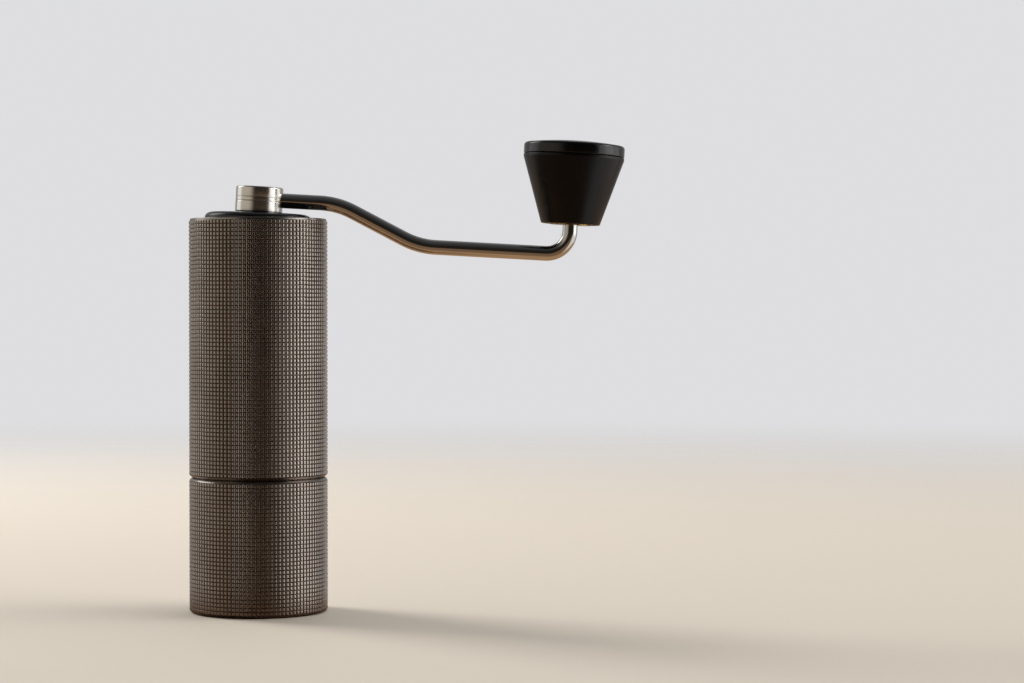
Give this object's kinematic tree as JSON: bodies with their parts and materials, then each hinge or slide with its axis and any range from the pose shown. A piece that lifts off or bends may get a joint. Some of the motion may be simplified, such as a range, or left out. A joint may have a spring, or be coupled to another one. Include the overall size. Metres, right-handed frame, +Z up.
{
  "type": "hand crank coffee grinder",
  "caption": "Knurled cylinder grinder: body screwed onto a catch cup, sunk lid, bent crank with a conical knob, ball bearings and conical burrs inside.",
  "frame": {"origin": "centre of the foot pad's underside, on the table", "axes": "+Z up along the body's axis, +X along the crank arm"},
  "size_m": [0.164, 0.052, 0.1775],
  "materials": {
    "body_anodised": "fine square knurl, anodised warm grey",
    "liner_steel": "brushed",
    "cast_aluminium": "machined",
    "burr_steel": "ground",
    "black_steel": "black oxide",
    "bearing_steel": "polished",
    "bearing_brass": "turned",
    "shaft_steel": "turned",
    "spring_steel": "drawn wire",
    "dial_aluminium": "turned",
    "hub_steel": "turned stainless steel",
    "arm_steel": "polished stainless steel",
    "lid_plastic": "satin",
    "knob_plastic": "satin",
    "pad_rubber": "matte"
  },
  "bodies": {
    "cup": {"cup_shell": "body_anodised", "base_pad": "pad_rubber"},
    "lift_ring": {"snap_ring": "black_steel"},
    "housing": {"outer_tube": "body_anodised", "upper_liner": "liner_steel", "lower_liner": "liner_steel", "upper_bracket": "cast_aluminium", "lower_bracket": "cast_aluminium", "burr_holder": "cast_aluminium", "ring_burr": "burr_steel", "grub_screw_1": "black_steel", "grub_screw_2": "black_steel", "grub_screw_3": "black_steel", "upper_outer_race": "bearing_steel", "lower_outer_race": "bearing_steel"},
    "drive": {"shaft": "shaft_steel", "upper_inner_race": "bearing_steel", "lower_inner_race": "bearing_steel", "shaft_clip": "black_steel", "burr_spring": "spring_steel", "end_clip": "black_steel"},
    "upper_balls": {"upper_cage": "bearing_brass", "upper_ball_1": "bearing_steel", "upper_ball_2": "bearing_steel", "upper_ball_3": "bearing_steel", "upper_ball_4": "bearing_steel", "upper_ball_5": "bearing_steel", "upper_ball_6": "bearing_steel", "upper_ball_7": "bearing_steel"},
    "lower_balls": {"lower_cage": "bearing_brass", "lower_ball_1": "bearing_steel", "lower_ball_2": "bearing_steel", "lower_ball_3": "bearing_steel", "lower_ball_4": "bearing_steel", "lower_ball_5": "bearing_steel", "lower_ball_6": "bearing_steel", "lower_ball_7": "bearing_steel"},
    "burr": {"inner_burr": "burr_steel", "click_plate": "burr_steel"},
    "grind_dial": {"dial": "dial_aluminium", "detent_ball_1": "bearing_steel", "detent_ball_2": "bearing_steel", "detent_spring_1": "spring_steel", "detent_spring_2": "spring_steel"},
    "handle": {"crank_hub": "hub_steel", "hub_cap": "hub_steel", "crank_arm": "arm_steel", "knob_washer": "shaft_steel", "knob_screw": "black_steel", "lid_clip": "black_steel"},
    "cover": {"lid": "lid_plastic"},
    "knob": {"knob_body": "knob_plastic", "knob_cap": "knob_plastic", "knob_bush": "bearing_brass"}
  },
  "joints": [
    {"name": "body_lift", "type": "slide", "parent": "cup", "child": "lift_ring", "axis": [0, 0, 1], "range_m": [0, 0.06]},
    {"name": "body_twist", "type": "hinge", "parent": "lift_ring", "child": "housing", "pos_m": [0, 0, 0.05], "axis": [0, 0, 1], "range_deg": [0, 1440]},
    {"name": "crank_spin", "type": "hinge", "parent": "housing", "child": "drive", "pos_m": [0, 0, 0.148], "axis": [0, 0, 1], "continuous": true},
    {"name": "upper_balls_orbit", "type": "hinge", "parent": "housing", "child": "upper_balls", "pos_m": [0, 0, 0.13], "axis": [0, 0, 1], "continuous": true},
    {"name": "lower_balls_orbit", "type": "hinge", "parent": "housing", "child": "lower_balls", "pos_m": [0, 0, 0.077], "axis": [0, 0, 1], "continuous": true},
    {"name": "burr_slide", "type": "slide", "parent": "drive", "child": "burr", "axis": [0, 0, 1], "range_m": [-0.0015, 0.0015], "deforming": ["burr_spring"]},
    {"name": "dial_turn", "type": "hinge", "parent": "burr", "child": "grind_dial", "pos_m": [0, 0, 0.045], "axis": [0, 0, 1], "range_deg": [-540, 540]},
    {"name": "handle_lift", "type": "slide", "parent": "drive", "child": "handle", "axis": [0, 0, 1], "range_m": [0, 0.03]},
    {"name": "lid_spin", "type": "hinge", "parent": "handle", "child": "cover", "pos_m": [0, 0, 0.148], "axis": [0.0349, 0, 0.9994], "continuous": true},
    {"name": "knob_spin", "type": "hinge", "parent": "handle", "child": "knob", "pos_m": [0.11733, 0, 0.14165], "axis": [0.0541, 0, 0.9985], "continuous": true}
  ],
  "couplings": [
    {"joint": "upper_balls_orbit", "follows": "crank_spin", "ratio": 0.368},
    {"joint": "lower_balls_orbit", "follows": "crank_spin", "ratio": 0.368},
    {"joint": "lid_spin", "follows": "crank_spin", "ratio": -1},
    {"joint": "dial_turn", "follows": "burr_slide", "rad_per_m": 6283.2}
  ]
}
